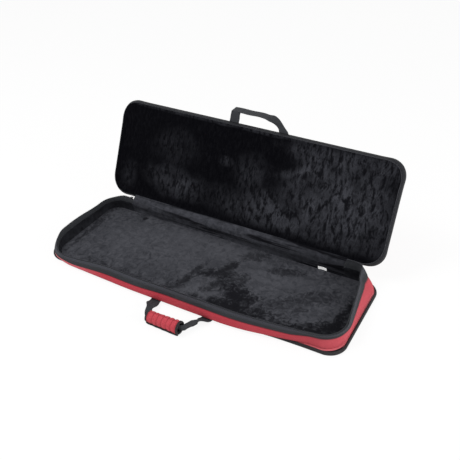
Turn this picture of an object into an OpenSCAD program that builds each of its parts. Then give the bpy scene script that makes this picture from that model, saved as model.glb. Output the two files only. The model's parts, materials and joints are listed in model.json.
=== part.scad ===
// Padded gig bag for a keyboard: a shallow foam-walled tray and a thin padded lid,
// joined by a fabric hinge along the back and closed by a two-way zip round the other sides.
// Origin: centre of the tray's underside. +X along the bag, +Y to the hinge, +Z up.

/* [Bag] */
// Length over the base piping
bag_l = 1160; // [900:10:1500]
// Width over the base piping
bag_w = 396; // [320:4:520]
// Corner radius of the base
base_r = 62; // [50:1:90]
// Corner radius of the lid's outer panel
lid_r = 65; // [50:1:90]
// Corner radius of the zip line, which relaxes rounder than the stiffened panels
rim_r = 90; // [60:1:120]
// How far the walls lean in between the base and the zip line
rim_in = 8; // [0:0.5:12]

/* [Tray] */
// Height of the tray's zip line above the ground
tray_h = 70; // [60:1:130]
// Height of the seam between the red gusset and the black zip band
belt_z = 42; // [24:1:50]
// Diameter of the piping round the base
base_piping_d = 10; // [6:0.5:12]
// Thickness of the stiffened bottom panel
bottom_t = 2.4; // [1.5:0.1:4]
// Thickness of the foam board in the floor
floor_foam_t = 8; // [4:0.5:15]
// Thickness of the plush lining
plush_t = 3; // [2:0.5:5]
// Thickness of the woven outer fabric
cloth_t = 1.2; // [0.8:0.1:2]
// Thickness of the wall padding from its outer face to the lining
wall_foam_t = 11; // [8:0.5:20]

/* [Zip] */
// Height of the sloping zip tape on each side of the parting line
tape_h = 13; // [10:0.5:20]
// Diameter of each zip coil
coil_d = 3; // [2:0.5:5]
// Space between the two coils when the lid is shut
coil_gap = 1.6; // [1.4:0.1:3]
// How far the coil stands inside the outline of the panels
coil_in = 8.5; // [6:0.5:12]
// Length of each zip slider
slider_l = 11; // [8:0.5:16]
// Length of each pull tab
pull_l = 22; // [15:1:40]

/* [Hinge] */
// Length of the fabric hinge along the back
hinge_l = 900; // [600:10:940]
// How far the lid stands open, from shut
lid_open = 115; // [90:1:150]

/* [Lid] */
// Depth of the lid above the parting line
lid_depth = 28; // [24:1:50]
// Diameter of the piping round the lid panel
lid_piping_d = 6; // [4:0.5:10]
// Thickness of the foam board in the lid
lid_foam_t = 11; // [6:0.5:14]

/* [Handles] */
// Width of the handle webbing
webbing_w = 38; // [25:1:50]
// Thickness of the handle webbing
webbing_t = 2.4; // [1.5:0.1:4]
// Length of each handle over its two straps
handle_l = 240; // [210:5:300]
// How far the middle of both handles lies to the right of the bag's middle
handle_x = 20; // [0:1:60]
// How far the lid handle stands off the lid's edge
lid_handle_h = 38; // [30:1:80]
// How far the padded wrap lies in front of the tray
wrap_reach = 118; // [100:1:160]
// Length of the padded wrap
wrap_l = 130; // [100:1:145]
// Outer radius of the padded wrap
wrap_r = 23; // [20:0.5:28]
// Thickness of the wrap's quilting
wrap_t = 6; // [4:0.5:7]

/* [Label] */
// Length of the blank sewn-in label
label_l = 38; // [20:1:60]
// How far the label stands out of its seam
label_h = 18; // [8:1:20]
// How far the label's middle lies to the right of the bag's middle
label_x = 368; // [0:1:400]

/* [Hidden] */

$fn = 48;
arc_n = 8;              // steps in each rounded corner of a soft ring
lay = 0.2;              // space between layers that lie on each other
free_gap = 0.3;         // space between parts that move on each other
facet_gap = 0.35;       // room for the flat steps of a soft ring's corners beside round ones
eps = 0.05;
half_l = bag_l / 2;
half_w = bag_w / 2;
rim_half_w = half_w - rim_in;
rim_half_l = half_l - rim_in;

// Heights in the tray, from the ground up
base_piping_r = base_piping_d / 2;
floor_foam_z = bottom_t + lay;
lining_z = floor_foam_z + floor_foam_t + lay;
floor_top = lining_z + plush_t;
coil_r = coil_d / 2;
parting_z = tray_h + coil_gap / 2;
tray_coil_z = tray_h - coil_r;
coil_foot = tray_h - coil_d;
rim_lining_z = coil_foot - 0.5;
rim_foam_z = coil_foot - 2;
fold_lining_z = rim_foam_z + 0.6;
band_top = tray_h - tape_h;

// How far each layer of the tray's wall stands inside the outline
gusset_in = 0.6;
belt_in = 1.6;
band_in = 3;
foam_in = belt_in + cloth_t + lay;
foam_inner = foam_in + wall_foam_t;
wall_lining_in = foam_inner + lay;
cavity_in = wall_lining_in + plush_t;
board_in = base_piping_d + 2 * lay;
tape_off = 0.4;         // how far the tape's edge lies outside the coil's middle
lip_off = 1.5;          // how far the plush edge lies inside the coil's middle

// Heights in the lid, from the parting line outwards
lid_coil_t = coil_gap / 2 + coil_r;
lid_coil_top = coil_gap / 2 + coil_d;
lid_lip_t = lid_coil_top + 0.5;
lid_lip_top = lid_lip_t + 0.9;
lid_edge_foam_t = lid_coil_top + 2;
lid_fold_t = lid_edge_foam_t - free_gap;
lid_tape_top = coil_gap / 2 + tape_h;
lid_piping_r = lid_piping_d / 2;
lid_panel_t = cloth_t + 0.4;
lid_foam_top = lid_depth - lid_panel_t - 2 * lay;
lid_foam_base = lid_foam_top - lid_foam_t;
lid_lining_face = lid_foam_base - lay - plush_t;
lid_board_in = lid_piping_d + 2 * lay;
lid_cavity_in = cavity_in + 1;
lid_foam_in = band_in + cloth_t + 1;

// Hinge line, along the rolled edge of the back panel
hinge_out = 0.6;
hinge_y = rim_half_w + hinge_out;
hinge_z = parting_z;
roll_r = 1;             // radius of the rolled edge
roll_web = 0.9;         // thickness of the cloth where it meets the roll
cut_depth = 40;         // how far the hinge's stretch reaches into the bag

// Label
label_t = 0.8;
label_tilt = 12;        // leans away from the wall

// Handles
webbing_r = webbing_t / 2;
strap_x = (handle_l - webbing_w) / 2;
handle_t = 18;          // height of the lid handle's sewn line above the parting line
anchor_out = 1;
anchor_h = 7;           // height of the sewn-down end of a strap
anchor_below = 4;       // how far it reaches below the sewn line
lid_handle_y = -(rim_half_w + anchor_out + webbing_r + free_gap);
tray_handle_out = 0.6;
tray_handle_y = -(half_w + tray_handle_out);
wrap_y = -(half_w + wrap_reach);
strap_flat = 58;        // length of each tray strap that lies on the ground
wrap_inner = wrap_r - wrap_t;
fold_t = 2 * (webbing_t + lay); // the webbing is doubled inside the wrap and fills it
fold_w = 2 * (sqrt(pow(wrap_inner, 2) - pow(fold_t / 2, 2)) - free_gap);
strip_t = 1.5;          // thickness of the hook strip and of the loop strip
strip_in = 8;           // how far both strips stop short of the wrap's ends
hook_lay = 0.1;         // space on each side of the hook strip
binding_w = 5;
flap_fold_r = 0.8;      // radius of the stitched fold that the flap turns on
body_start_angle = 240; // the fixed part of the wrap runs from here round to the top
body_end_angle = 447;
flap_start_angle = 90;  // the flap runs on from there and stops short of the fixed part
flap_end_angle = 232;
edge_start_angle = 232.5;
edge_end_angle = 239;
hook_start_angle = 200;
hook_end_angle = 230;
loop_start_angle = 198;
loop_end_angle = 252;

// Zip, with its sliders parked next to the hinge
zip_cut = 4;            // how far each coil stops short of the hinge
stop_l = 3;
stop_off = 2;           // from the hinge's end to the middle of each end stop
slider_off = 12;        // from the hinge's end to the middle of each slider, along the zip
slider_h = 7;
plate_t = 1.2;
plate_off = coil_r + 0.5;
bail_t = 1.2;
bail_h = 3;
pull_w = 5;
pull_t = 1;
pull_out = 7.8;         // from the coil out to the pull's pin
pin_r = 0.9;
zip_line_r = rim_r - coil_in;
zip_straight = rim_half_l - rim_r;
pull_foot = parting_z - pull_l - pull_w / 2;

// A flat outline with rounded corners, standing in_by inside the bag's outline
module flat_outline(in_by, r) {
    a = half_l - in_by;
    b = half_w - in_by;
    c = r - in_by;
    square([2 * a, 2 * (b - c)], center = true);
    square([2 * (a - c), 2 * b], center = true);
    for (sx = [-1, 1], sy = [-1, 1])
        translate([sx * (a - c), sy * (b - c)]) circle(c);
}

// A flat board with rounded corners, from height z0 to z1
module board(in_by, r, z0, z1) {
    translate([0, 0, z0]) linear_extrude(z1 - z0) flat_outline(in_by, r);
}

// Corner points of one level of a soft ring
function level(in_by, z, r) = [
    for (q = [0 : 3], i = [0 : arc_n])
        let (a = 90 * (q + i / arc_n),
             sx = (q == 0 || q == 3) ? 1 : -1,
             sy = (q < 2) ? 1 : -1)
        [sx * (half_l - r) + (r - in_by) * cos(a), sy * (half_w - r) + (r - in_by) * sin(a), z]
];

// A ring swept round the bag. Each profile point is [distance inside the outline, height, corner
// radius there], and the points run anticlockwise as seen with the inside of the bag to the right.
module soft_ring(profile) {
    n = 4 * (arc_n + 1);
    m = len(profile);
    points = [for (p = profile) each level(p[0], p[1], p[2])];
    faces = [
        for (j = [0 : m - 1], i = [0 : n - 1])
            let (a = j * n + i, b = j * n + (i + 1) % n,
                 c = ((j + 1) % m) * n + (i + 1) % n, d = ((j + 1) % m) * n + i)
            each [[a, b, c], [a, c, d]]
    ];
    polyhedron(points, faces);
}

// How far the tray's wall leans in at height z. The lid stands inside the outline by rim_in
function lean_in(z) = rim_in * min(1, z / tray_h);

// Corner radius of the tray at height z, and of the lid at t above the parting line
function tray_r(z) = base_r + (rim_r - base_r) * z / tray_h;
function lid_ring_r(t) = rim_r + (lid_r - rim_r) * t / lid_depth;
function tray_pt(in_by, z) = [in_by + lean_in(z), z, tray_r(z) + lean_in(z)];
function lid_pt(in_by, t) = [in_by + rim_in, parting_z + t, lid_ring_r(t) + rim_in];

// A round bead that follows the outline, its middle in_by inside it at height z
module bead(in_by, z, r_corner, r_bead) {
    c = r_corner - in_by;
    a = half_l - r_corner;
    b = half_w - r_corner;
    translate([0, 0, z]) {
        for (s = [-1, 1]) {
            translate([-a, s * (b + c), 0]) rotate([0, 90, 0]) cylinder(r = r_bead, h = 2 * a);
            translate([s * (a + c), b, 0]) rotate([90, 0, 0]) cylinder(r = r_bead, h = 2 * b);
        }
        for (q = [0 : 3])
            translate([(q == 0 || q == 3) ? a : -a, (q < 2) ? b : -b, 0])
                rotate([0, 0, 90 * q])
                    rotate_extrude(angle = 90) translate([c, 0]) circle(r_bead);
    }
}

// The stretch along the back that the hinge takes from the zip, with a little to spare
module hinge_cut(spare) {
    translate([-hinge_l / 2 - spare, half_w - cut_depth, 0])
        cube([hinge_l + 2 * spare, 2 * cut_depth, parting_z + lid_depth]);
}

// Turns what is drawn shut about the hinge line to where the lid stands open
module opened() {
    translate([0, hinge_y, hinge_z]) rotate([-lid_open, 0, 0])
        translate([0, -hinge_y, -hinge_z]) children();
}

// ---- Tray ----

module bottom_panel() {
    color("#2a2829") board(board_in, base_r, 0, bottom_t);
}

module base_piping() {
    color("#2b2829") bead(base_piping_r, base_piping_r, base_r, base_piping_r);
}

module floor_foam_board() {
    color("#55575c") board(board_in, base_r, floor_foam_z, floor_foam_z + floor_foam_t);
}

module floor_lining() {
    lean = lean_in(floor_top);
    color("#3f4045")
        board(cavity_in + lean + lay + facet_gap, tray_r(floor_top) + lean, lining_z, floor_top);
}

// Height of the piping's round surface at a distance inside the outline
function piping_top(d) = base_piping_r + sqrt(pow(base_piping_r, 2) - pow(base_piping_r - d, 2));

module tray_gusset() {
    z0 = piping_top(gusset_in + cloth_t + facet_gap) + lay;
    color("#be505a") soft_ring([
        [gusset_in, z0, base_r],
        [gusset_in + cloth_t, z0, base_r],
        tray_pt(belt_in + cloth_t, belt_z),
        tray_pt(belt_in, belt_z)
    ]);
}

module tray_zip_band() {
    color("#3c3e40") difference() {
        soft_ring([
            tray_pt(belt_in, belt_z + lay),
            tray_pt(belt_in + cloth_t, belt_z + lay),
            tray_pt(band_in + cloth_t, band_top),
            tray_pt(band_in, band_top)
        ]);
        hinge_cut(0);
    }
}

module tray_wall_foam() {
    z0 = lining_z;
    color("#55575c") soft_ring([
        tray_pt(foam_in, z0),
        tray_pt(foam_inner, z0),
        tray_pt(foam_inner, band_top - 1),
        tray_pt(coil_in + lip_off - free_gap, rim_foam_z),
        tray_pt(coil_in - tape_off - 0.5, rim_foam_z),
        tray_pt(band_in + cloth_t + lay, band_top - 1)
    ]);
}

module tray_wall_lining() {
    color("#1c1d20") soft_ring([
        tray_pt(wall_lining_in, lining_z),
        tray_pt(cavity_in, lining_z),
        tray_pt(cavity_in, band_top),
        tray_pt(coil_in + lip_off + plush_t, rim_lining_z),
        tray_pt(coil_in + lip_off, rim_lining_z),
        tray_pt(wall_lining_in, band_top - 0.6)
    ]);
}

module tray_zip_tape() {
    color("#4b4d52") difference() {
        soft_ring([
            tray_pt(band_in, band_top + lay),
            tray_pt(band_in + cloth_t, band_top + lay),
            tray_pt(coil_in - tape_off, coil_foot - lay),
            tray_pt(coil_in - tape_off - cloth_t, coil_foot - lay)
        ]);
        hinge_cut(0);
    }
}

module tray_zip_coil() {
    color("#3e4045") difference() {
        bead(coil_in + rim_in, tray_coil_z, rim_r + rim_in, coil_r);
        hinge_cut(zip_cut);
    }
}

// The cloth of the back wall runs up to a rolled edge on the hinge line
module tray_hinge_panel() {
    color("#333538") {
        intersection() {
            soft_ring([
                tray_pt(belt_in, belt_z + lay),
                tray_pt(belt_in + cloth_t, belt_z + lay),
                tray_pt(band_in + cloth_t, band_top),
                tray_pt(roll_web - hinge_out, hinge_z),
                tray_pt(-hinge_out, hinge_z),
                tray_pt(band_in, band_top)
            ]);
            hinge_cut(0);
        }
        translate([-hinge_l / 2, hinge_y, hinge_z]) rotate([0, 90, 0])
            cylinder(r = roll_r, h = hinge_l, $fn = 24);
    }
}

module tray_hinge_lining() {
    color("#3a3b40") intersection() {
        soft_ring([
            tray_pt(band_in + cloth_t + lay, band_top + 3),
            tray_pt(coil_in - tape_off - 1, fold_lining_z),
            tray_pt(coil_in + lip_off - lay, fold_lining_z),
            tray_pt(coil_in + lip_off - lay, parting_z - free_gap),
            tray_pt(band_in + cloth_t + lay, parting_z - free_gap)
        ]);
        hinge_cut(0);
    }
}

module care_label() {
    y = half_w - cavity_in - lean_in(floor_top) - free_gap;
    color("#f2f2f0") translate([label_x, y, floor_top])
        rotate([label_tilt, 0, 0]) translate([-label_l / 2, -label_t - lay, free_gap])
            cube([label_l, label_t, label_h]);
}

module tray_zip_stops() {
    color("#303236") for (s = [-1, 1]) on_zip(s, stop_off)
        translate([0, 0, tray_coil_z]) cube([stop_l, coil_d + 0.8, coil_d], center = true);
}

// ---- Lid, drawn shut and then opened ----

module lid_panel() {
    z = parting_z + lid_depth;
    color("#be505a") opened()
        board(lid_board_in + rim_in, lid_r + rim_in, z - lid_panel_t, z);
}

module lid_piping() {
    z = parting_z + lid_depth - lid_piping_r;
    color("#2b2c2e") opened()
        bead(lid_piping_r + rim_in, z, lid_r + rim_in, lid_piping_r);
}

module lid_gusset() {
    d = gusset_in + cloth_t + facet_gap;
    t1 = lid_depth - lid_piping_r - sqrt(pow(lid_piping_r, 2) - pow(lid_piping_r - d, 2)) - lay;
    color("#303033") opened() soft_ring([
        lid_pt(band_in, lid_tape_top + lay),
        lid_pt(band_in + cloth_t, lid_tape_top + lay),
        [gusset_in + cloth_t + rim_in, parting_z + t1, lid_r + rim_in],
        [gusset_in + rim_in, parting_z + t1, lid_r + rim_in]
    ]);
}

module lid_foam_board() {
    color("#55575c") opened()
        board(lid_board_in + rim_in, lid_ring_r(lid_foam_base) + rim_in,
              parting_z + lid_foam_base, parting_z + lid_foam_top);
}

module lid_edge_foam() {
    t1 = lid_foam_base - lay;
    color("#55575c") opened() soft_ring([
        lid_pt(lid_foam_in, lid_tape_top - 2),
        lid_pt(coil_in - tape_off - lay, lid_edge_foam_t),
        lid_pt(coil_in + lip_off - 0.5, lid_edge_foam_t),
        lid_pt(wall_lining_in - lay, t1),
        lid_pt(lid_foam_in, t1)
    ]);
}

module lid_lining() {
    t1 = lid_foam_base - lay;
    color("#202125") opened() union() {
        board(lid_cavity_in + rim_in, lid_ring_r(t1) + rim_in,
              parting_z + lid_lining_face, parting_z + t1);
        soft_ring([
            lid_pt(coil_in + lip_off - lay, lid_lip_top),
            lid_pt(coil_in + lip_off, lid_lip_t),
            lid_pt(coil_in + lip_off + plush_t, lid_lip_t),
            lid_pt(lid_cavity_in + eps, lid_lining_face),
            lid_pt(lid_cavity_in + eps, t1),
            lid_pt(wall_lining_in, t1)
        ]);
    }
}

module lid_zip_tape() {
    color("#3a3c40") opened() difference() {
        soft_ring([
            lid_pt(coil_in - tape_off - cloth_t, lid_coil_top + lay),
            lid_pt(coil_in - tape_off, lid_coil_top + lay),
            lid_pt(band_in + cloth_t, lid_tape_top),
            lid_pt(band_in, lid_tape_top)
        ]);
        hinge_cut(0);
    }
}

module lid_zip_coil() {
    color("#45474b") opened() difference() {
        bead(coil_in + rim_in, parting_z + lid_coil_t, rim_r + rim_in, coil_r);
        hinge_cut(zip_cut);
    }
}

module lid_hinge_panel() {
    color("#333538") opened() intersection() {
        soft_ring([
            lid_pt(-hinge_out, roll_r + free_gap),
            lid_pt(roll_web - hinge_out, roll_r + free_gap),
            lid_pt(band_in + cloth_t, lid_tape_top),
            lid_pt(band_in, lid_tape_top)
        ]);
        hinge_cut(0);
    }
}

module lid_hinge_lining() {
    color("#3a3b40") opened() intersection() {
        soft_ring([
            lid_pt(band_in + cloth_t + lay, free_gap),
            lid_pt(coil_in + lip_off - 0.4, free_gap),
            lid_pt(coil_in + lip_off - 0.4, lid_fold_t),
            lid_pt(coil_in - tape_off - 0.5, lid_fold_t),
            lid_pt(band_in + cloth_t + lay, lid_tape_top - 3)
        ]);
        hinge_cut(0);
    }
}

// ---- Lid handle ----

module lid_handle_anchors() {
    z0 = parting_z + handle_t - anchor_below;
    color("#2c2d2f") opened() for (s = [-1, 1])
        translate([handle_x + s * strap_x - webbing_w / 2, -rim_half_w - anchor_out, z0])
            cube([webbing_w, anchor_out + gusset_in - lay, anchor_h]);
}

// The strap stands up off the lid's edge, folds flat across the hand and comes down again
module lid_handle_webbing() {
    lean = lid_open - 90;
    color("#3c3e40") opened() translate([handle_x, lid_handle_y, parting_z + handle_t]) {
        for (s = [-1, 1]) translate([s * strap_x - webbing_w / 2, 0, 0]) {
            rotate([0, 90, 0]) cylinder(r = webbing_r, h = webbing_w, $fn = 24);
            translate([0, -lid_handle_h, -webbing_r]) cube([webbing_w, lid_handle_h, webbing_t]);
        }
        translate([-handle_l / 2, -lid_handle_h, 0]) rotate([lean, 0, 0])
            translate([0, -webbing_t, -webbing_r - 2 * lay])
                cube([handle_l, webbing_t, webbing_w]);
    }
}

// ---- Tray handle and its padded wrap ----

module tray_handle_webbing() {
    run = wrap_reach - strap_flat - tray_handle_out + fold_w / 2;
    rise = wrap_r - webbing_r;
    color("#3c3e40") translate([handle_x, 0, 0]) {
        for (s = [-1, 1]) translate([s * strap_x - webbing_w / 2, tray_handle_y, webbing_r]) {
            rotate([0, 90, 0]) cylinder(r = webbing_r, h = webbing_w, $fn = 24);
            translate([0, -strap_flat, -webbing_r]) cube([webbing_w, strap_flat, webbing_t]);
            translate([0, -strap_flat, 0]) rotate([0, 90, 0])
                cylinder(r = webbing_r, h = webbing_w, $fn = 24);
            translate([0, -strap_flat, 0]) rotate([-atan2(rise, run), 0, 0])
                translate([0, -norm([rise, run]), -webbing_r])
                    cube([webbing_w, norm([rise, run]), webbing_t]);
        }
        translate([-handle_l / 2, wrap_y - fold_w / 2, wrap_r - fold_t / 2])
            cube([handle_l, fold_w, fold_t]);
    }
}

// An arc-shaped shell along X, from angle a0 to a1 about the wrap's middle
module wrap_arc(r0, r1, a0, a1, x0, x1) {
    translate([handle_x + x0, wrap_y, wrap_r]) rotate([90, 0, 90]) rotate([0, 0, a0])
        linear_extrude(x1 - x0) intersection() {
            difference() {
                circle(r1, $fn = 64);
                circle(r0, $fn = 64);
            }
            pie(a1 - a0, 2 * r1);
        }
}

// A pie slice from the X axis round to angle a, under 270 degrees
module pie(a, r) {
    steps = ceil(a / 45);
    polygon(concat([[0, 0]], [for (i = [0 : steps]) r * [cos(a * i / steps), sin(a * i / steps)]]));
}

// The two narrow bindings of a padded shell's ends
module wrap_ends(r0, a0, a1) {
    for (s = [-1, 1])
        wrap_arc(r0, wrap_r, a0, a1, s * (wrap_l - binding_w) / 2 - (binding_w - lay) / 2,
                 s * (wrap_l - binding_w) / 2 + (binding_w - lay) / 2);
}

module wrap_body() {
    color("#c04a50") wrap_arc(wrap_inner, wrap_r, body_start_angle, body_end_angle,
                              -wrap_l / 2 + binding_w, wrap_l / 2 - binding_w);
}

module wrap_end_bindings() {
    color("#2c2d2f") wrap_ends(wrap_inner, body_start_angle, body_end_angle);
}

module wrap_loop_strip() {
    color("#26272a") wrap_arc(wrap_inner - free_gap - strip_t, wrap_inner - free_gap,
                              loop_start_angle, loop_end_angle,
                              -wrap_l / 2 + strip_in, wrap_l / 2 - strip_in);
}

// The flap turns on a narrow stitched fold along the wrap's top
module wrap_flap() {
    color("#c04a50") {
        wrap_arc(wrap_inner + strip_t, wrap_r, flap_start_angle, flap_end_angle,
                 -wrap_l / 2 + binding_w, wrap_l / 2 - binding_w);
        translate([handle_x - wrap_l / 2 + binding_w, wrap_y, 2 * wrap_r]) rotate([0, 90, 0])
            cylinder(r = flap_fold_r, h = wrap_l - 2 * binding_w, $fn = 24);
    }
}

module wrap_flap_binding() {
    color("#2c2d2f") {
        wrap_ends(wrap_inner + strip_t, flap_start_angle + 1, flap_end_angle);
        wrap_arc(wrap_inner + strip_t, wrap_r, edge_start_angle, edge_end_angle,
                 -wrap_l / 2 + lay / 2, wrap_l / 2 - lay / 2);
    }
}

module wrap_hook_strip() {
    color("#26272a") wrap_arc(wrap_inner + hook_lay, wrap_inner + strip_t - hook_lay,
                              hook_start_angle, hook_end_angle,
                              -wrap_l / 2 + strip_in, wrap_l / 2 - strip_in);
}

// ---- Zip sliders and their pulls ----

// Stands what is drawn at the coil's line, past the hinge's end by off along the zip, with
// +Y pointing out of the bag; past the straight stretch it goes on round the corner
module on_zip(s, off) {
    translate([s * (hinge_l / 2 + off - zip_past(off)), rim_half_w - rim_r, 0])
        rotate([0, 0, -s * zip_turn(off)]) translate([0, zip_line_r, 0]) children();
}

// How much of that lies past the straight stretch, and the angle that the zip turns there
function zip_past(off) = max(0, hinge_l / 2 + off - zip_straight);
function zip_turn(off) = zip_past(off) / zip_line_r * 180 / PI;

// How much rounder the zip line's corners are than the wall's where the pull's foot hangs
function rounder() = rim_r - tray_r(pull_foot);

// From the coil out to the pull's pin, clear of the wall, which leans out below the rim
function pull_at(off) =
    pull_out - rounder() + (rounder() + rim_in - lean_in(pull_foot))
        * (cos(zip_turn(off)) + sin(zip_turn(off)));

// Two plates either side of the coils, joined between the coils, with a bail for the pull
module slider(s) {
    bail_y = plate_off + plate_t;
    bail_l = pull_at(slider_off) - bail_y + 2 * bail_t;
    color("#1f2022") on_zip(s, slider_off) translate([0, 0, parting_z]) {
        for (f = [-1, 1])
            translate([0, f * (plate_off + plate_t / 2), 0])
                cube([slider_l, plate_t, slider_h], center = true);
        cube([slider_l / 2, 2 * plate_off + plate_t, coil_gap - 2 * free_gap], center = true);
        for (e = [-1, 1])
            translate([e * (pull_w / 2 + 1), bail_y - bail_t + bail_l / 2, 0])
                cube([bail_t, bail_l, bail_h], center = true);
    }
}

// A flat tab with a round end that hangs from the slider's bail
module pull(s) {
    color("#2a2b2d") on_zip(s, slider_off) translate([0, pull_at(slider_off), parting_z]) {
        rotate([0, 90, 0]) cylinder(r = pin_r, h = pull_w - 0.6, center = true, $fn = 24);
        translate([0, 0, -pull_l / 2]) cube([pull_w - 1, pull_t, pull_l], center = true);
        translate([0, 0, -pull_l]) rotate([90, 0, 0])
            cylinder(r = pull_w / 2, h = pull_t, center = true, $fn = 24);
    }
}

module slider_left() { slider(-1); }
module slider_right() { slider(1); }
module pull_left() { pull(-1); }
module pull_right() { pull(1); }

bottom_panel();
base_piping();
floor_foam_board();
floor_lining();
tray_gusset();
tray_zip_band();
tray_wall_foam();
tray_wall_lining();
tray_zip_tape();
tray_zip_coil();
tray_hinge_panel();
tray_hinge_lining();
care_label();
tray_zip_stops();
lid_panel();
lid_piping();
lid_gusset();
lid_foam_board();
lid_edge_foam();
lid_lining();
lid_zip_tape();
lid_zip_coil();
lid_hinge_panel();
lid_hinge_lining();
lid_handle_anchors();
lid_handle_webbing();
tray_handle_webbing();
wrap_body();
wrap_end_bindings();
wrap_loop_strip();
wrap_flap();
wrap_flap_binding();
wrap_hook_strip();
slider_left();
slider_right();
pull_left();
pull_right();
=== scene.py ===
"""Looks of a padded keyboard gig bag: cloth, plush, piping, zip, webbing and the quilted grip."""
import json
import math
import bmesh
import bpy
import numpy as np
from mathutils import Matrix, Vector


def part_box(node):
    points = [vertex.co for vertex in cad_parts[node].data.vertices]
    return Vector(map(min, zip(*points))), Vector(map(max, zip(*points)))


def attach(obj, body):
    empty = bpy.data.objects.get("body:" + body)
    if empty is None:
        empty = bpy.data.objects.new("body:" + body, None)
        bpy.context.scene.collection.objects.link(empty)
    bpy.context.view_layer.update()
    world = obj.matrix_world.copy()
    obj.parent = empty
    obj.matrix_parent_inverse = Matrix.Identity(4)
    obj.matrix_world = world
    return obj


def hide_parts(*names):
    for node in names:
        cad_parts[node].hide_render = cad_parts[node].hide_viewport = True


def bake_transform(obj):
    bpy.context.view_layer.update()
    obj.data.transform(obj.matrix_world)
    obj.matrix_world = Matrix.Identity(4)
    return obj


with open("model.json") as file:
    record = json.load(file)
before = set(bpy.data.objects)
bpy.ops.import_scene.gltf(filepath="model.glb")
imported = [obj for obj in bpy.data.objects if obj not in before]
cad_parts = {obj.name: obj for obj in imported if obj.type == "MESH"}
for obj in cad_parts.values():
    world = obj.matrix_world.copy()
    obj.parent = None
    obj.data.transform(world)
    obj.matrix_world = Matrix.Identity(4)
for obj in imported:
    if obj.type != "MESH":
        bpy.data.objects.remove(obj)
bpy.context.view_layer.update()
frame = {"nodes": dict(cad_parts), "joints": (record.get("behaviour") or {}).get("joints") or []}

# ---------------------------------------------------------------- sizes, in metres
half_l, half_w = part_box("base_piping")[1][:2]
joints = {j["name"]: j for j in frame["joints"]}
hinge_y, hinge_z = joints["lid_hinge"]["pos_m"][1:]
lid_open = -math.radians(joints["lid_hinge"]["range_deg"][0])
hinge_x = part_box("tray_hinge_panel")[1].x
hinge_out = 0.0006  # how far the hinge's line lies outside the zip line
rim_in = half_w - hinge_y + hinge_out  # how far the walls lean in up to the zip line
rim_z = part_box("tray_zip_coil")[1].z
belt_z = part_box("tray_gusset")[1].z
floor_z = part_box("floor_lining")[1].z
lining_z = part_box("floor_lining")[0].z
base_r, lid_r, rim_r = 0.062, 0.065, 0.090
lid_depth = 0.028
lid_long, lid_wide = half_l - rim_in, half_w - rim_in
cloth_t, plush_t, tape_t = 0.0012, 0.003, 0.0011
backing_t = plush_t - 0.0006  # the plush's backing and packed pile
band_top = rim_z - 0.013
coil_in, coil_r = 0.0085, 0.0015
cavity_in = 0.0172  # how far the foot of the plush wall stands inside the outline
panel_in = 0.0045  # how far a panel's edge lies under its piping
web_w, web_t = 0.038, 0.0024
wrap_r, wrap_t, wrap_ribs = 0.023, 0.006, 7
wrap_y = joints["wrap_flap_peel"]["pos_m"][1]
wrap_low, wrap_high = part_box("wrap_end_bindings")
wrap_mid, wrap_half = (wrap_low.x + wrap_high.x) / 2, (wrap_high.x - wrap_low.x) / 2

# ---------------------------------------------------------------- lines round the bag
# Stretches round the wall, clockwise from the middle of the back: to the hinge's end, to the
# corner, corner, right end, corner, front, corner, left end, corner, and back to the middle.
STRETCH = np.array([hinge_x, 0.05, 0.126, 0.236, 0.126, 1.0, 0.126, 0.236, 0.126, 0.05, hinge_x])
CORNERS = (2, 4, 6, 8)
END = np.cumsum(STRETCH)
START = END - STRETCH
WHOLE, ZIP_FROM, ZIP_TO = END[-1], END[0], END[-2]
ZIP_RUN = WHOLE - 2 * hinge_x


def wall_line(s, in_by, r, long=half_l, wide=half_w):
    """Where distance s along the wall is, in_by inside an outline whose corners have radius r."""
    s, in_by, r = np.broadcast_arrays(*(np.asarray(v, float) for v in (s, in_by, r)))
    k = np.clip(np.searchsorted(END, s, side="right"), 0, len(STRETCH) - 1)
    f = (s - START[k]) / STRETCH[k]
    a, b, c = long - r, wide - r, r - in_by
    turn = f * math.pi / 2
    sin, cos = c * np.sin(turn), c * np.cos(turn)
    x = np.choose(k, [f * hinge_x, hinge_x + f * (a - hinge_x), a + sin, a + c, a + cos,
                      a * (1 - 2 * f), -a - sin, -a - c, -a - cos,
                      -a + f * (a - hinge_x), hinge_x * (f - 1)])
    y = np.choose(k, [b + c, b + c, b + cos, b * (1 - 2 * f), -b - sin, -b - c, -b - cos,
                      b * (2 * f - 1), b + sin, b + c, b + c])
    return x, y


def stations(start, end, step):
    """Distances along the wall, closer together in the corners."""
    out = [start]
    for k in range(len(STRETCH)):
        near, far = max(start, START[k]), min(end, END[k])
        if far - near > 1e-9:
            pace = step * (0.6 if k in CORNERS else 1.0)
            out += list(np.linspace(near, far, max(1, round((far - near) / pace)) + 1)[1:])
    return np.array(out)


def smooth(v):
    """0 below 0 and 1 above 1, with an S-shaped way between."""
    v = np.clip(v, 0, 1)
    return v * v * (3 - 2 * v)


def rise(v, start, end):
    """0 up to start and 1 from end on, with an S-shaped way between."""
    return smooth((v - start) / (end - start))


def swell(x, y, wave, seed, n=7):
    """A soft unevenness, mostly between -1 and 1."""
    rng = np.random.default_rng(seed)
    total = np.zeros(np.broadcast(x, y).shape)
    for _ in range(n):
        turn, size, phase = rng.uniform(0, 6.28), wave * rng.uniform(0.65, 1.5), rng.uniform(0, 6.28)
        total += np.sin(6.283 / size * (x * math.cos(turn) + y * math.sin(turn)) + phase)
    return total / math.sqrt(n)


# ---------------------------------------------------------------- how the soft tray has settled
front_bow, base_bow, rim_bow, rim_sag = 0.027, 0.010, 0.024, 0.008
corner_out, corner_down = 0.016, 0.018
end_lean, end_skew, ledge_in = 0.0158, 0.190, 0.012
buckle_right, buckle_left = 0.027, 0.008
piping_top = 0.0085


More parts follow.
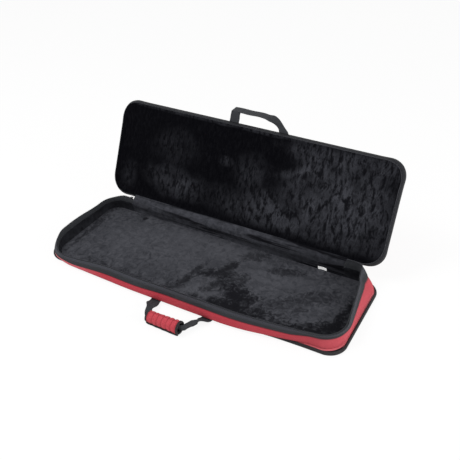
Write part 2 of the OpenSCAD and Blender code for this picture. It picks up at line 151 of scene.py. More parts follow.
def settled(x, y, z):
    """Where a point of the tray's cloth, foam or plush lies after years of use."""
    up = np.clip((z - 0.009) / (rim_z - 0.009), 0, 1)
    rounded = np.sin(up * math.pi / 2)
    front = rise(-y, half_w - 0.15, half_w - 0.04)
    # The front flops outwards over its piping and sags
    bow = front * (1 - rise(-x, 0.15, 0.79)) * (1 - rise(x, 0.15 + 0.05 * up, 0.48 + 0.12 * up))
    out = base_bow + (front_bow - base_bow) * rise(z, 0.0088, 0.0178) + (rim_bow - front_bow) * up
    fold = np.exp(-((z - 0.0155) / 0.0045) ** 2)
    right_half = 0.004 * front * rise(x, 0.25, 0.37) * (1 - up)
    # The left corner slumps, and the wall at that end bulges towards it
    slump = rounded * rise(-x, 0.26, 0.50) * rise(-y, 0.10, 0.18)
    left = up * rise(-x, 0.47, 0.55) * (0.006 * rise(y, -0.17, -0.10) - 0.015 * rise(y, -0.08, 0.12))
    # At both ends the wall stands a little inside the trim below it
    ledge = ledge_in * rise(z, piping_top, 0.0105) * (1 - rounded)
    left = left - ledge * rise(-x, 0.47, 0.56)
    inset = ledge * front * (rise(x, 0.33, 0.50) + rise(-x, 0.45, 0.54))
    # The right end leans in, most of all at its back
    leaning = rounded * np.maximum(end_lean + end_skew * y, -0.002) * (1 - rise(y, 0.13, 0.20))
    lean = rise(x, 0.47, 0.57) * (ledge * (1 - 0.7 * rise(y, 0.12, 0.18)) + leaning)
    # At the right corner the wall is tucked in below a rim that leans out
    tuck = rise(x, 0.40, 0.50) * rise(-y, 0.05, 0.14)
    waist = tuck * np.sin(up * math.pi)
    # Beside the hinge the rim has buckled up
    buckle = up * up * rise(y, 0.12, 0.165) * (
        buckle_right * rise(x, 0.443, 0.456) * (1 - rise(x, 0.535, 0.585))
        + buckle_left * rise(-x, 0.447, 0.466) * (1 - rise(-x, 0.49, 0.55)))
    # Left of the handle the band hangs lower
    hang = front * rise(-x, 0.02, 0.17) * (1 - rise(-x, 0.42, 0.52)) * (
        0.0070 * np.sin(math.pi * np.clip((up - 0.15) / 0.7, 0, 1)) + 0.003 * up)
    # Everywhere the cloth is a little uneven
    wave = 0.0014 * swell(x, y, 0.21, 5) * up * (1 - rise(y, half_w - 0.06, half_w - 0.01))
    return (x - lean - left - 0.007 * waist,
            y - 0.2 * buckle - bow * out + right_half + inset - corner_out * slump + 0.010 * waist
            - wave * front,
            z - bow * (0.0085 * fold + rim_sag * smooth(up)) - corner_down * slump + 0.006 * waist
            - 0.004 * tuck * up + 0.7 * wave + buckle - hang)


def lean_in(z):
    """How far the regular wall leans in at a height."""
    return rim_in * np.clip(z / rim_z, 0, 1)


def tray_at(s, in_by, z):
    """A point of the tray's wall, as settled."""
    lean = lean_in(z)
    x, y = wall_line(s, in_by + lean, base_r + (rim_r - base_r) * z / rim_z + lean)
    return settled(x, y, z)


def piping_at(s, in_by, z):
    """A point of the base piping, which is fatter towards both ends."""
    x, y = wall_line(s, in_by, base_r)
    z = z * (1 + 0.32 * np.maximum(rise(x, 0.30, 0.50), rise(-x, 0.48, 0.57)))
    under = np.minimum(z, piping_top)
    x, y, foot = settled(x, y, under)
    return x, y, foot + z - under


def opened(x, y, t):
    """From the shut lid, t above the parting line, to where the lid stands open."""
    a, c, n = y - hinge_y, math.cos(-lid_open), math.sin(-lid_open)
    return x, hinge_y + a * c - t * n, hinge_z + a * n + t * c


def squared(x, y, r):
    """The lid's corners are pulled out squarer than they are sewn, most of all at the handle's side."""
    reach = 0.10
    at_side = rise(-y, lid_wide - reach, lid_wide) + 0.5 * rise(y, lid_wide - reach, lid_wide)
    most = 0.003 + 0.0105 * (r - lid_r) / (rim_r - lid_r)
    pull = most * rise(np.abs(x), lid_long - reach, lid_long) * at_side
    return x + np.sign(x) * pull, y + np.sign(y) * pull, pull


def lid_at(s, in_by, t):
    """A point of the lid's edge, t above the parting line."""
    r = rim_r + (lid_r - rim_r) * t / lid_depth
    x, y, _ = squared(*wall_line(s, in_by, r, lid_long, lid_wide), r)
    return opened(x, y, t)


# ---------------------------------------------------------------- making pieces
def finished(name, mesh, made_of, nodes=(), body=None, smooth_to=40):
    """A piece made of a material, the nodes it stands for and the body it rides on."""
    material, slot = made_of
    mesh.name = name
    piece = bpy.data.objects.new(name, mesh)
    bpy.context.scene.collection.objects.link(piece)
    mesh.materials.append(material)
    mesh.polygons.foreach_set("use_smooth", [True] * len(mesh.polygons))
    mesh.set_sharp_from_angle(angle=math.radians(smooth_to))
    if nodes:
        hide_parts(*nodes)
    if body:
        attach(piece, body)
    return piece


def mesh_of(bm):
    """The mesh of a finished bmesh, which is let go."""
    mesh = bpy.data.meshes.new("piece")
    bm.to_mesh(mesh)
    bm.free()
    return mesh


def joined(parts):
    """One mesh of several."""
    bm = bmesh.new()
    for part in parts:
        bm.from_mesh(part)
        bpy.data.meshes.remove(part)
    return mesh_of(bm)


def laid_out(nu, nv, at, close_u=False, close_v=False, caps=False):
    """A grid of nu by nv cells, laid where at(i, j) says; it returns x, y, z and the cloth's own
    length and width there, which the weave follows."""
    bm = bmesh.new()
    bmesh.ops.create_grid(bm, x_segments=nu, y_segments=nv, size=0.5)
    mesh = mesh_of(bm)
    flat = np.empty(len(mesh.vertices) * 3)
    mesh.vertices.foreach_get("co", flat)
    flat = flat.reshape(-1, 3)
    i = np.rint((flat[:, 0] + 0.5) * nu).astype(int)
    j = np.rint((flat[:, 1] + 0.5) * nv).astype(int)
    *place, along, across = (np.broadcast_to(v, i.shape) for v in at(i, j))
    mesh.vertices.foreach_set("co", np.column_stack(place).ravel())
    corner = np.empty(len(mesh.loops), int)
    mesh.loops.foreach_get("vertex_index", corner)
    weave = mesh.uv_layers.new(name="weave")
    weave.data.foreach_set("uv", np.column_stack([along, across])[corner].ravel())
    mesh.update()
    bm = bmesh.new()
    bm.from_mesh(mesh)
    if close_u or close_v:
        bmesh.ops.remove_doubles(bm, verts=bm.verts, dist=2e-6)
    if caps:
        bmesh.ops.holes_fill(bm, edges=[e for e in bm.edges if e.is_boundary], sides=0)
    bmesh.ops.recalc_face_normals(bm, faces=bm.faces)
    bm.to_mesh(mesh)
    bm.free()
    return mesh


def travelled(line):
    """How far along a line each of its points lies."""
    return np.concatenate([[0], np.cumsum(np.linalg.norm(np.diff(line, axis=0), axis=1))])


def swept(profile, at, start=0.0, end=WHOLE, step=0.007):
    """A closed profile of (inside the outline, height) points, swept along the wall."""
    s = stations(start, end, step)
    line = np.array([*profile, profile[0]], float)
    far = travelled(line)
    ring = end - start > WHOLE - 1e-6
    return laid_out(len(s) - 1, len(line) - 1,
                    lambda i, j: (*at(s[i], line[j, 0], line[j, 1]), s[i], far[j]),
                    close_u=ring, close_v=True, caps=not ring)


def layer_of(outer, t):
    """The closed profile of a layer t thick, whose outer side is this line from the bottom up."""
    line = np.array(outer, float)
    step = np.gradient(line, axis=0)
    inwards = np.column_stack([step[:, 1], -step[:, 0]]) / np.hypot(step[:, 0], step[:, 1])[:, None]
    return np.concatenate([line, (line + inwards * t)[::-1]])


def eased(points, n):
    """n points on a smooth line through the given ones."""
    knots = np.array(points, float)
    far = travelled(knots)
    slope = np.gradient(knots, far, axis=0)
    wanted = np.linspace(0, far[-1], n)
    k = np.clip(np.searchsorted(far, wanted, side="right") - 1, 0, len(far) - 2)
    span = (far[k + 1] - far[k])[:, None]
    f = (wanted - far[k])[:, None] / span
    return ((2 * f**3 - 3 * f**2 + 1) * knots[k] + (f**3 - 2 * f**2 + f) * span * slope[k]
            + (3 * f**2 - 2 * f**3) * knots[k + 1] + (f**3 - f**2) * span * slope[k + 1])


def round_profile(in_by, z, r, n=12):
    """The closed profile of a cord, by its middle and radius."""
    turns = np.linspace(0, 2 * math.pi, n, endpoint=False)
    return [(in_by + r * math.cos(a), z + r * math.sin(a)) for a in turns]


def edge_steps(length, step, gap=0.018):
    """Distances across a board, closer together near both edges."""
    side = [0, 0.0012, 0.0026, 0.0045, 0.007, 0.010, 0.014]
    middle = np.linspace(gap, length - gap, max(2, round((length - 2 * gap) / step)) + 1)
    return np.array([*side, *middle, *(length - v for v in side[::-1])])


def board_grid(long, wide, r, step):
    """Grid lines over a board with rounded corners: x, y and how far inside its edge."""
    turn = np.linspace(0, math.pi / 2, 13)
    corner = long - r + r * np.sin(turn)
    reach = wide - r + r * np.cos(turn)
    n = max(2, round(2 * (long - r) / step))
    x = np.concatenate([-corner[::-1], np.linspace(-(long - r), long - r, n + 1)[1:-1], corner])
    top = np.concatenate([reach[::-1], np.full(n - 1, wide), reach])
    v = edge_steps(2 * wide, step) / wide - 1

    def at(i, j):
        px, py = x[i], top[i] * v[j]
        qx, qy = np.abs(px) - (long - r), np.abs(py) - (wide - r)
        round_corner = np.hypot(np.maximum(qx, 0), np.maximum(qy, 0))
        outside = round_corner + np.minimum(np.maximum(qx, qy), 0) - r
        return px, py, np.maximum(-outside, 0)

    return len(x) - 1, len(v) - 1, at


def thick(piece, t, facing):
    """Gives a sheet its thickness, behind the face that looks along facing."""
    normals = np.zeros(len(piece.data.polygons) * 3)
    piece.data.polygons.foreach_get("normal", normals)
    if normals.reshape(-1, 3).sum(axis=0) @ np.array(facing) < 0:
        piece.data.flip_normals()
    wall = piece.modifiers.new("cloth", "SOLIDIFY")
    wall.thickness, wall.offset, wall.use_even_offset = t, -1.0, False
    return piece


# ---------------------------------------------------------------- materials
class Flow:
    """A value on its way through a material; sums and products of it add their Math nodes."""

    def __init__(self, shop, socket):
        self.shop, self.socket = shop, socket

    def __add__(self, other):
        return self.shop.math("ADD", self, other)

    def __sub__(self, other):
        return self.shop.math("SUBTRACT", self, other)

    def __rsub__(self, other):
        return self.shop.math("SUBTRACT", other, self)

    def __mul__(self, other):
        return self.shop.math("MULTIPLY", self, other)

    def __truediv__(self, other):
        return self.shop.math("DIVIDE", self, other)

    def __rtruediv__(self, other):
        return self.shop.math("DIVIDE", other, self)

    def __pow__(self, other):
        return self.shop.math("POWER", self, other)

    def __mod__(self, other):
        return self.shop.math("FLOORED_MODULO", self, other)

    def __abs__(self):
        return self.shop.math("ABSOLUTE", self)

    __radd__, __rmul__ = __add__, __mul__


class Finish:
    """One material, or the world, and the ways its maker builds it up."""

    def __init__(self, name, kind="materials"):
        self.made = getattr(bpy.data, kind).new(name)
        self.made.use_nodes = True
        self.tree = self.made.node_tree
        self.tree.nodes.clear()

    def node(self, kind, settings=None, sockets=None):
        """Any node: its settings first, then values or links for its sockets."""
        made = self.tree.nodes.new("ShaderNode" + kind)
        for key, value in (settings or {}).items():
            setattr(made, key, value)
        for key, value in (sockets or {}).items():
            target = made.inputs[key]
            if isinstance(value, Flow):
                self.tree.links.new(value.socket, target)
            elif hasattr(value, "__len__") and target.type == "RGBA":
                target.default_value = (*value, 1)
            else:
                target.default_value = value
        named = [(out.name, out) for out in made.outputs]
        return {key: Flow(self, out) for key, out in [*enumerate(made.outputs), *named]}

    def math(self, kind, *values):
        return self.node("Math", {"operation": kind}, dict(enumerate(values)))[0]

    def place(self, kind="UV"):
        return self.node("TexCoord")[kind]

    def split(self, vector):
        parts = self.node("SeparateXYZ", None, {0: vector})
        return parts["X"], parts["Y"], parts["Z"]

    def stretched(self, vector, scale):
        return self.node("Mapping", None, {"Vector": vector, "Scale": scale})[0]

    def noise(self, vector, scale, detail=3.0, rough=0.5, distortion=0.0):
        return self.node("TexNoise", None, {"Vector": vector, "Scale": scale, "Detail": detail,
                                            "Roughness": rough, "Distortion": distortion})[0]

    def level(self, value, low, high, to_low=0.0, to_high=1.0):
        """value as it goes from low to high, taken to the other range and held to it."""
        ends = {1: low, 2: high, 3: to_low, 4: to_high}
        return self.node("MapRange", {"clamp": True}, {0: value, **ends})[0]

    def mix(self, share, a, b):
        return self.node("Mix", {"data_type": "RGBA"}, {0: share, 6: a, 7: b})[2]

    def wave(self, value, length):
        """A rounded ridge, 0 to 1, for each length along value."""
        return abs(self.math("SINE", value * (math.pi / length)))

    def weave(self, pitch):
        """Plain weave that follows the cloth: height of the threads, 0 to 1."""
        u, v, _ = self.split(self.place())
        square = self.node("CombineXYZ", None, {0: u, 1: v})[0]
        checks = {0: square, 1: (1, 1, 1), 2: (0, 0, 0), 3: 1 / pitch}
        over = self.node("TexChecker", None, checks)["Fac"]
        warp, weft = self.wave(u, pitch), self.wave(v, pitch)
        return over * warp + (1 - over) * weft

    def patches(self, x, y, ragged, spots, near=0.2, far=1.7):
        """How far a place lies inside any of the ovals: middle, half sizes, turn and depth."""
        most = None
        for px, py, long, wide, turn, deep in spots:
            c, n = math.cos(turn), math.sin(turn)
            a = (x - px) * (c / long) + (y - py) * (n / long)
            b = (y - py) * (c / wide) - (x - px) * (n / wide)
            spot = self.level(a * a + b * b + ragged, near, far, deep, 0)
            most = spot if most is None else self.math("MAXIMUM", most, spot)
        return most

    def bump(self, height, distance, strength=1.0):
        sockets = {"Strength": strength, "Distance": distance, "Height": height}
        return self.node("Bump", None, sockets)[0]

    def skin(self, colour, rough, normal, **fixed):
        sockets = {"Base Color": colour, "Roughness": rough, "Specular IOR Level": 0.15}
        sockets.update({key.replace("_", " "): value for key, value in fixed.items()})
        sockets["Normal"] = normal
        self.node("OutputMaterial", None, {"Surface": self.node("BsdfPrincipled", None, sockets)[0]})
        return self.made


def srgb(r, g, b):
    """A colour as a swatch names it, 0 to 255, in the light that the shader uses."""
    return tuple(v / 255 / 12.92 if v <= 10 else ((v / 255 + 0.055) / 1.055) ** 2.4 for v in (r, g, b))


def stitches(f, at_v, pitch=0.0035, width=0.0009):
    """Thread of a seam that runs along the cloth, at_v across it: 0 to 1."""
    u, v, _ = f.split(f.place())
    line = f.level(abs(v - at_v), width * 0.4, width, 1, 0)
    return line * f.level(f.wave(u, pitch), 0.25, 0.6)


def red_cloth(name, dark=(158, 40, 52), light=(206, 70, 82), rib=0.0, tall=0.0, core=None):
    """Coarse nylon. A rib length adds the grooves sewn across a quilted pad, darkened with their
    stitched seams and painted shade; the height of a wall adds painted shade under the band above
    it, a painted highlight along the lower edge and painted highlights on the ends; core is the
    middle and the radius of a roll that is lined in black."""
    f = Finish(name)
    threads = f.weave(0.0016)
    wear = f.noise(f.place("Object"), 9, 4, 0.6)
    dust = f.noise(f.place("Object"), 320, 2)
    body = f.mix(threads * 0.55 + 0.2, srgb(*dark), srgb(*light))
    body = f.mix(f.level(wear, 0.35, 0.7) * 0.35, body, srgb(200, 84, 94))
    body = f.mix(f.level(dust, 0.5, 0.8) * 0.15, body, srgb(222, 110, 118))
    u, v, _ = f.split(f.place())
    if rib:
        # Each sewn groove is darkened: its stitched seam, with painted shade in the groove.
        body = f.mix(f.level(f.wave(u, rib), 0.0, 0.4, 0.55, 0), body, srgb(120, 28, 38))
    if tall:
        # Painted shade under the band that hangs over the top of the wall.
        body = f.mix(f.level(v, tall - 0.0035, tall - 0.0008, 0, 0.75), body, srgb(70, 20, 28))
        along = f.split(f.place("Object"))[0]
        # Painted highlights in pale pink: along the lower edge and towards both ends.
        wear_and_edge_highlight = f.level(v, 0.001, 0.005, 0.5, 0)
        ends_highlight = f.level(along, -0.57, -0.30, 0.8, 0) + f.level(along, 0.40, 0.52, 0, 0.17)
        body = f.mix(wear_and_edge_highlight + ends_highlight, body, srgb(236, 132, 140))
    if core:
        _, y, z = f.split(f.place("Object"))
        off, high = y - core[0], z - core[1]
        inside = f.level((off * off + high * high) ** 0.5, core[2], core[2] + 0.0006, 1, 0)
        body = f.mix(inside, body, srgb(20, 18, 20))
    relief = f.bump(threads + dust * 0.4, 0.0004, 0.8)
    return f.skin(body, 0.8, relief, Sheen_Weight=0.05, Sheen_Roughness=0.5)


def dark_cloth(name, dark, light, pitch, seams=()):
    """Black cloth, with a line of stitches at each of the seams across it."""
    f = Finish(name)
    threads = f.weave(pitch)
    wear = f.noise(f.place("Object"), 14, 4, 0.6)
    colour = f.mix(threads * 0.6 + f.level(wear, 0.3, 0.75) * 0.35, srgb(*dark), srgb(*light))
    height = threads
    for at_v in seams:
        thread = stitches(f, at_v)
        colour = f.mix(thread * 0.5, colour, srgb(*(c + 16 for c in light)))
        height = height + thread * 2.0
    return f.skin(colour, 0.78, f.bump(height, 0.0003, 0.8), Sheen_Weight=0.03)


# Ovals of pile, in metres on the cloth: middle, half length and half width, turn, depth. The floor's
# are pressed and brushed pile, partly painted shade and painted highlight; the lid's are painted
# highlights.
FLOOR_PRESSED_AND_SHADED = (
    (-0.030, -0.030, 0.045, 0.012, 1.4, 0.7), (-0.040, -0.090, 0.045, 0.014, 1.2, 0.75),
    (-0.070, -0.140, 0.06, 0.02, 0.7, 0.6), (0.068, 0.040, 0.045, 0.016, 1.2, 0.85),
    (0.048, -0.012, 0.08, 0.022, 0.35, 0.9), (0.080, -0.062, 0.07, 0.022, 0.8, 0.8),
    (0.170, -0.072, 0.10, 0.036, -0.27, 1.0), (0.160, -0.138, 0.17, 0.032, 0.1, 1.0),
    (0.118, 0.133, 0.05, 0.022, 0.5, 0.6), (0.137, -0.011, 0.035, 0.020, 0.9, 0.6),
    (0.255, 0.105, 0.06, 0.020, 0.3, 0.6), (0.300, -0.145, 0.10, 0.016, 0.05, 0.7),
    (0.495, -0.105, 0.13, 0.042, 0.5, 1.0), (0.530, -0.020, 0.13, 0.026, 1.45, 1.0),
    (0.420, -0.140, 0.11, 0.024, 0.05, 1.0), (0.400, 0.020, 0.10, 0.03, 0.6, 0.45),
    (0.330, -0.060, 0.08, 0.03, 0.3, 0.4), (-0.378, 0.157, 0.012, 0.009, 0, 0.9),
    (-0.200, -0.155, 0.20, 0.02, 0, 0.5), (-0.535, 0.0, 0.15, 0.012, 1.57, 0.6))
FLOOR_BRUSHED_AND_LIT = (
    (-0.050, 0.110, 0.20, 0.05, 0, 0.7), (0.225, 0.050, 0.14, 0.035, 0.2, 0.6),
    (0.030, -0.110, 0.07, 0.03, 0.3, 0.6), (-0.250, 0.020, 0.20, 0.10, 0, 0.4))
LID_PAINTED_HIGHLIGHTS = (
    (0.385, 0.165, 0.20, 0.14, 0, 1.0), (0.140, 0.085, 0.16, 0.065, 0, 0.85),
    (-0.270, 0.100, 0.12, 0.05, -0.1, 0.62), (0.020, 0.205, 0.05, 0.06, 0, 0.45),
    (-0.310, 0.235, 0.08, 0.06, 0, 0.22), (-0.084, 0.234, 0.025, 0.015, 0, 0.6),
    (0.380, 0.335, 0.18, 0.045, 0, 0.75), (0.240, 0.275, 0.10, 0.020, 0.4, 1.0),
    (-0.05, 0.08, 0.10, 0.05, 0, 0.3), (-0.50, 0.08, 0.03, 0.05, 0, 0.25),
    (0.0, 0.374, 0.62, 0.010, 0, 0.7))


def floor_plush():
    """Brushed pile, with dark wisps where it was crushed the other way, painted shade along the foot of
    the front and left walls, and pale patches that are partly painted highlight.
    """
    f = Finish("floor_plush")
    flat = f.place()
    x, y, _ = f.split(flat)
    soft = f.noise(flat, 7, 4, 0.6, 0.8)
    nap = f.noise(flat, 48, 5, 0.68, 1.0)
    pile = f.noise(flat, 300, 2, 0.6)
    ragged = (nap - 0.5) * 5.0 + (soft - 0.5) * 2.4
    # Dark ovals: pile pressed the other way, and painted shade along the foot of the front and left
    # walls.
    pressed_and_shaded = f.patches(x, y, ragged, FLOOR_PRESSED_AND_SHADED)
    # Pale ovals: brushed pile, with painted highlight.
    brushed_and_lit = f.patches(x, y, ragged, FLOOR_BRUSHED_AND_LIT)
    tone = (f.level(soft, 0.3, 0.72) * 0.24 + f.level(nap, 0.34, 0.66) * 0.50 + pile * 0.12
            + brushed_and_lit * 0.26)
    colour = f.mix(tone, srgb(29, 30, 35), srgb(90, 91, 97))
    colour = f.mix(pressed_and_shaded * 0.94, colour, f.mix(pile, srgb(4, 4, 7), srgb(28, 28, 33)))
    height = nap * 0.8 + pile * 0.5 + soft * 0.6 - pressed_and_shaded * 0.5
    return f.skin(colour, 0.95, f.bump(height, 0.0035, 0.5), Specular_IOR_Level=0.08)


def wall_plush(name, dark, light, back):
    """Deep pile; back is the paler pair of tones, painted light, that lies behind the hinge, where
    the creases and the right side are darkened with painted shade.
    """
    f = Finish(name)
    here = f.place("Object")
    x, y, _ = f.split(here)
    nap = f.noise(here, 55, 4, 0.6, 0.5)
    pile = f.noise(here, 300, 2, 0.6)
    crease = f.noise(f.stretched(here, (0.07, 1, 1)), 62, 3, 0.55, 0.4)
    tone = f.level(nap, 0.3, 0.75) * 0.6 + pile * 0.35
    colour = f.mix(tone, srgb(*dark), srgb(*light))
    # Behind the hinge the plush takes the paler tones, as painted light.
    lies = f.level(y, 0.166, 0.172) * f.level(abs(x), 0.447, 0.453, 1, 0)
    colour = f.mix(lies, colour, f.mix(tone, *(srgb(*shade) for shade in back)))
    # Painted shade behind the hinge: dark in the creases and towards the right.
    streak = (f.level(crease, 0.50, 0.62) * f.level(x, -0.42, -0.20, 0.25, 0.9)
              + f.level(x, 0.05, 0.42, 0, 0.45))
    colour = f.mix(f.level(streak * lies, 0, 1), colour, srgb(16, 16, 20))
    height = nap + pile * 0.5 + crease * 1.6
    return f.skin(colour, 0.95, f.bump(height, 0.003, 0.5), Specular_IOR_Level=0.06)


def lid_plush():
    """Crushed pile with painted light: dark to the left and the top, and painted highlights on the
    upright cracks where the light would catch them.
    """
    f = Finish("lid_plush")
    flat = f.place()
    x, up, _ = f.split(flat)
    cloud = f.noise(flat, 11, 4, 0.6, 0.6)
    broad = f.noise(f.stretched(flat, (1, 0.42, 1)), 54, 3, 0.6, 0.7)
    streak = f.noise(f.stretched(flat, (1, 0.34, 1)), 125, 4, 0.65, 0.8)
    pile = f.noise(flat, 300, 2, 0.6)
    ragged = (cloud - 0.5) * 4.4 + (broad - 0.5) * 2.4 + (streak - 0.5) * 3.0
    # Painted highlights on the crushed pile, fading out towards the hinge.
    painted_highlight = f.patches(x, up, ragged, LID_PAINTED_HIGHLIGHTS, 0.0, 2.5) * f.level(up, 0.018, 0.05)
    marks = f.level(streak * 0.45 + broad * 0.55, 0.43, 0.59, 0.08, 1.0)
    tone = painted_highlight * marks + f.level(streak, 0.45, 0.7) * 0.06
    shade = f.mix(pile, srgb(3, 3, 5), srgb(14, 14, 18))
    colour = f.mix(tone, shade, f.mix(pile, srgb(42, 43, 48), srgb(86, 87, 94)))
    height = streak * 0.8 + broad * 0.9 + pile * 0.3
    return f.skin(colour, 0.95, f.bump(height, 0.004, 0.6), Specular_IOR_Level=0.02)


def herringbone(name, dark, light, lane=0.002, pitch=0.0012):
    """Tape whose ribs slant one way and back, lane by lane."""
    f = Finish(name)
    u, v, _ = f.split(f.place())
    slope = abs((v / lane) % 2.0 - 1.0) * lane
    rib = f.wave(u + slope, pitch)
    colour = f.mix(rib, srgb(*dark), srgb(*light))
    return f.skin(colour, 0.75, f.bump(rib, 0.0003, 0.7), Sheen_Weight=0.03)


def webbing(rib=0.0024, pick=0.0016):
    """Heavy webbing: ribs along it, with short picks across them."""
    f = Finish("ribbed_webbing")
    u, v, _ = f.split(f.place())
    ribs = f.wave(v, rib)
    picks = f.wave(u + f.wave(v, 2 * rib) * (pick / 2), pick)
    dust = f.noise(f.place("Object"), 60, 4, 0.6)
    tone = ribs * 0.4 + picks * 0.3 + f.level(dust, 0.3, 0.75) * 0.3
    colour = f.mix(tone, srgb(24, 25, 28), srgb(64, 66, 70))
    return f.skin(colour, 0.7, f.bump(ribs + picks * 0.7, 0.0005, 0.8), Sheen_Weight=0.03)


def plain(name, dark, light, rough, scale, depth, metal=0.0):
    """A moulded, cast or foamed finish: mottled, with a grain."""
    f = Finish(name)
    grain = f.noise(f.place("Object"), scale, 3, 0.6)
    wear = f.noise(f.place("Object"), scale / 9, 3, 0.6)
    colour = f.mix(f.level(grain, 0.35, 0.7) * 0.6 + wear * 0.4, srgb(*dark), srgb(*light))
    wear_and_edge_highlight = f.level(wear, 0.2, 0.8, rough, min(1, rough + 0.15))
    return f.skin(colour, wear_and_edge_highlight, f.bump(grain, depth), Metallic=metal)


def glowing_satin(rib=0.0006):
    """The blank label's smooth white cloth, with a painted glow from a weak emission."""
    f = Finish("satin_label_painted_glow")
    _, v, _ = f.split(f.place())
    ribs = f.wave(v, rib)
    colour = f.mix(ribs, srgb(246, 246, 245), srgb(255, 255, 254))
    return f.skin(colour, 0.45, f.bump(ribs, 0.0001), Specular_IOR_Level=0.5,
                  # Painted glow: the emission makes the label brighter than its light alone would.
                  Emission_Color=(1, 1, 1), Emission_Strength=0.35)


def hooks():
    """The fuzz of hook and loop tape."""
    f = Finish("hook_and_loop")
    spots = f.node("TexVoronoi", None, {"Vector": f.place("Object"), "Scale": 900.0})[0]
    colour = f.mix(spots, srgb(52, 52, 56), srgb(20, 20, 22))
    return f.skin(colour, 0.8, f.bump(1 - spots, 0.0006))


gusset_line = eased([(0.0006, 0.0093), (-0.0012, 0.013), (-0.0026, 0.020), (-0.0020, 0.030),
                     (0.0008, 0.0395), (0.0016, belt_z)], 16)
gusset_tall = float(travelled(gusset_line)[-1])
LIT_STRIP_TONES = (34, 35, 39), (82, 83, 90)

# Each material with the name of its slot
RED = red_cloth("red_woven_nylon"), "red_cloth"
RED_WALL = red_cloth("red_wall_nylon", tall=gusset_tall), "red_cloth"
QUILT = red_cloth("quilted_nylon", (176, 50, 62), (226, 86, 96), 2 * wrap_half / wrap_ribs,
                  core=(wrap_y, wrap_r, wrap_r - wrap_t + 0.0003)), "red_cloth"
BASE_CLOTH = dark_cloth("coated_base_cloth", (26, 25, 27), (52, 51, 54), 0.0016), "black_base_cloth"
PIPING = dark_cloth("piping_binding", (26, 24, 25), (62, 60, 62), 0.0013), "black_piping"
BAND = dark_cloth("band_cloth", (28, 29, 32), (64, 66, 70), 0.0011, (0.0012, 0.0135)), "black_band_cloth"
LID_BAND = dark_cloth("lid_edge_cloth", (28, 29, 31), (60, 61, 64), 0.0011), "black_band_cloth"
FLOOR_PLUSH = floor_plush(), "plush"
# The wall's plush is a darker copy of the plush, for painted shade; the hinge strip's is a paler copy,
# for painted light.
WALL_PLUSH_SHADED = wall_plush("wall_plush", (13, 13, 16), (50, 51, 56), LIT_STRIP_TONES), "plush"
STRIP_PLUSH_LIT = wall_plush("strip_plush_lit", *LIT_STRIP_TONES, LIT_STRIP_TONES), "plush"
LID_PLUSH = lid_plush(), "plush"
TAPE = herringbone("herringbone_tape", (36, 37, 41), (74, 75, 82)), "zip_tape"
# The lid's half of the zip tape is a darker copy of the tray's half, for painted shade.
LID_TAPE_SHADED = herringbone("lid_herringbone_tape_shaded", (12, 13, 15), (36, 37, 42)), "zip_tape"
# The black nylon coil is painted pale grey, which stands for its highlight.
COIL_WITH_PAINTED_HIGHLIGHT = plain("nylon_coil_painted_highlight", (58, 59, 64), (96, 97, 103), 0.45, 500, 0.0001), "zip_coil"
WEBBING = webbing(), "webbing"
FOAM = plain("padding_foam", (15, 15, 17), (38, 39, 42), 0.95, 700, 0.0006), "foam"
LABEL = glowing_satin(), "label_cloth"
HOOKS = hooks(), "hook_and_loop"
ENAMEL = plain("black_enamel", (18, 18, 20), (40, 40, 43), 0.3, 300, 0.00005, 0.6), "blackened_metal"
TAB = plain("moulded_tab", (22, 22, 25), (46, 46, 50), 0.5, 400, 0.0001), "pull_tab"


# ---------------------------------------------------------------- tray
def tray_base():
    """The bottom cloth, turned up a little at its edge, and the piping round it."""
    nu, nv, at = board_grid(half_l - panel_in, half_w - panel_in, base_r - panel_in, 0.012)

    def spot(i, j):
        x, y, d = at(i, j)
        puff = 0.0006 * (1 + swell(x, y, 0.12, 3)) * smooth(d / 0.05)
        z = 0.0008 + 0.0022 * (1 - smooth(d / 0.004)) + puff
        return (*settled(x, y, z), x, y)

    cloth = finished("bottom_cloth", laid_out(nu, nv, spot), BASE_CLOTH, ["bottom_panel"], "tray")
    thick(cloth, 0.0016, (0, 0, -1))
    cord = swept(round_profile(0.005, 0.005, 0.005, 14), piping_at)
    finished("base_piping_cord", cord, PIPING, ["base_piping"], "tray")


